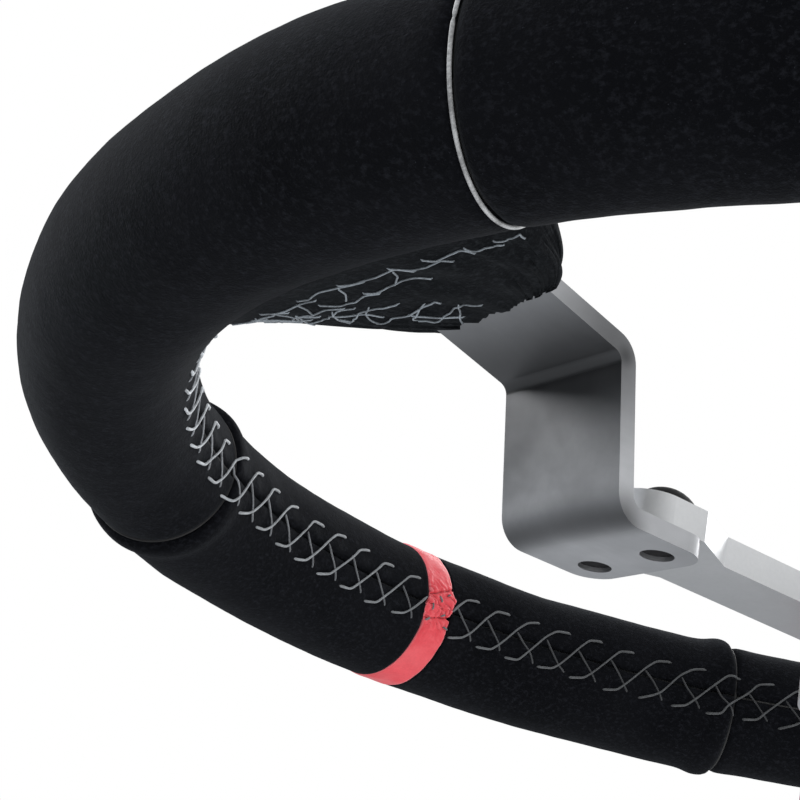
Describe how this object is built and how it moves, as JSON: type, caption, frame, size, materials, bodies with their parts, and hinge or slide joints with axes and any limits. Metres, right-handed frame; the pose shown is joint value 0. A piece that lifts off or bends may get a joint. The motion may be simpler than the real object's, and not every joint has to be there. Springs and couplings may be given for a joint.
{
  "type": "quick release steering wheel",
  "caption": "Round suede-wrapped racing wheel with flat bent steel spokes, a red centre stripe and a sprung ball-lock release collar on a splined column hub.",
  "frame": {"origin": "centre of the column adapter's mounting face, on the steering axis", "axes": "+Y along the steering axis towards the column, so the driver sits on -Y; +Z to the 12 o'clock stripe; +X to the driver's right"},
  "size_m": [0.35, 0.0909, 0.3502],
  "materials": {
    "suede": "napped suede wrap, near black",
    "red_leather": "smooth red leather, slightly creased",
    "thread_pale": "pale grey waxed thread",
    "thread_dark": "black waxed thread",
    "foam": "dense polyurethane foam",
    "spoke_steel": "satin raw steel, brushed along the bar",
    "weld_steel": "bare steel tube and weld",
    "machined_aluminium": "turned and lightly blasted, clear anodised",
    "collar_red": "red anodised, turned",
    "adapter_steel": "turned steel, lightly oiled",
    "ball_steel": "polished bearing steel",
    "spring_steel": "spring steel",
    "black_screw": "black oxide"
  },
  "bodies": {
    "column": {"column_flange": "adapter_steel", "splined_shaft": "adapter_steel"},
    "wheel": {"qr_body": "machined_aluminium", "collar_spring": "spring_steel", "collar_clip": "spring_steel", "hub_plate": "machined_aluminium", "hub_screws": "black_screw", "spoke_screws": "black_screw", "spoke_left": "spoke_steel", "spoke_right": "spoke_steel", "spoke_bottom": "spoke_steel", "spoke_welds": "weld_steel", "rim_core": "weld_steel", "rim_foam": "foam", "wrap_top_left": "suede", "wrap_top_right": "suede", "wrap_grip_left": "suede", "wrap_grip_right": "suede", "wrap_lower_left": "suede", "wrap_lower_right": "suede", "centre_stripe": "red_leather", "seam_cord_left": "thread_pale", "seam_cord_right": "thread_pale", "grip_cord_left": "thread_dark", "grip_cord_right": "thread_dark", "spoke_cover_left": "suede", "spoke_cover_right": "suede", "spoke_cover_bottom": "suede", "stitch_top_left": "thread_pale", "stitch_top_right": "thread_pale", "stitch_grip_left": "thread_pale", "stitch_grip_right": "thread_pale", "stitch_lower_left": "thread_pale", "stitch_lower_right": "thread_pale"},
    "collar": {"release_collar": "collar_red"},
    "lock_ball_1": {"lock_ball_1": "ball_steel"},
    "lock_ball_2": {"lock_ball_2": "ball_steel"},
    "lock_ball_3": {"lock_ball_3": "ball_steel"},
    "lock_ball_4": {"lock_ball_4": "ball_steel"}
  },
  "joints": [
    {"name": "wheel_release", "type": "slide", "parent": "column", "child": "wheel", "axis": [0, -1, 0], "range_m": [0, 0.045]},
    {"name": "collar_slide", "type": "slide", "parent": "wheel", "child": "collar", "axis": [0, 1, 0], "range_m": [0, 0.0045], "stiffness_N_per_m": 800, "springref_m": 0.012, "deforming": ["collar_spring"]},
    {"name": "lock_ball_1_slide", "type": "slide", "parent": "wheel", "child": "lock_ball_1", "axis": [-0.9239, 0, -0.3827], "range_m": [0, 0.0014]},
    {"name": "lock_ball_2_slide", "type": "slide", "parent": "wheel", "child": "lock_ball_2", "axis": [0.3827, 0, -0.9239], "range_m": [0, 0.0014]},
    {"name": "lock_ball_3_slide", "type": "slide", "parent": "wheel", "child": "lock_ball_3", "axis": [0.9239, 0, 0.3827], "range_m": [0, 0.0014]},
    {"name": "lock_ball_4_slide", "type": "slide", "parent": "wheel", "child": "lock_ball_4", "axis": [-0.3827, 0, 0.9239], "range_m": [0, 0.0014]}
  ],
  "couplings": [
    {"joint": "lock_ball_1_slide", "follows": "collar_slide", "ratio": 0.3111},
    {"joint": "lock_ball_2_slide", "follows": "collar_slide", "ratio": 0.3111},
    {"joint": "lock_ball_3_slide", "follows": "collar_slide", "ratio": 0.3111},
    {"joint": "lock_ball_4_slide", "follows": "collar_slide", "ratio": 0.3111}
  ]
}
